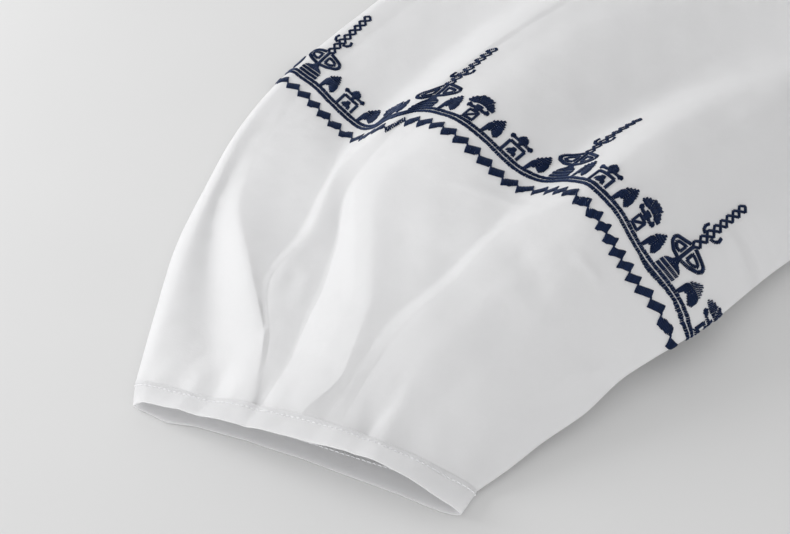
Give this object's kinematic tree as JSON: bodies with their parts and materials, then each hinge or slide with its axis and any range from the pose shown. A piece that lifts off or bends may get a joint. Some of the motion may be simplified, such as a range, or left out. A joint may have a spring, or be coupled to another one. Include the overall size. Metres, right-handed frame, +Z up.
{
  "type": "embroidered balloon-sleeve cotton top",
  "caption": "White woven cotton top laid flat, with gathered elbow-length balloon sleeves, narrow stitched cuffs and a round neck; the sleeves carry a dark blue embroidered border.",
  "frame": {"origin": "on the surface that the garment lies on, below the centre of its outline", "axes": "+X across the garment from cuff to cuff, towards the wearer's left sleeve; +Y from hem to neck; +Z up, out of the front"},
  "size_m": [1.288, 0.6204, 0.047],
  "materials": {
    "body_cotton": "matt plain weave",
    "sleeve_cotton": "matt plain weave",
    "binding_cotton": "matt plain weave, topstitched",
    "navy_thread": "silky embroidery thread",
    "white_thread": "spun sewing thread"
  },
  "bodies": {
    "root": {"front": "body_cotton", "back": "body_cotton", "sleeve_right": "sleeve_cotton", "sleeve_left": "sleeve_cotton", "cuff_right": "binding_cotton", "cuff_left": "binding_cotton", "neck_band": "binding_cotton"}
  },
  "joints": []
}
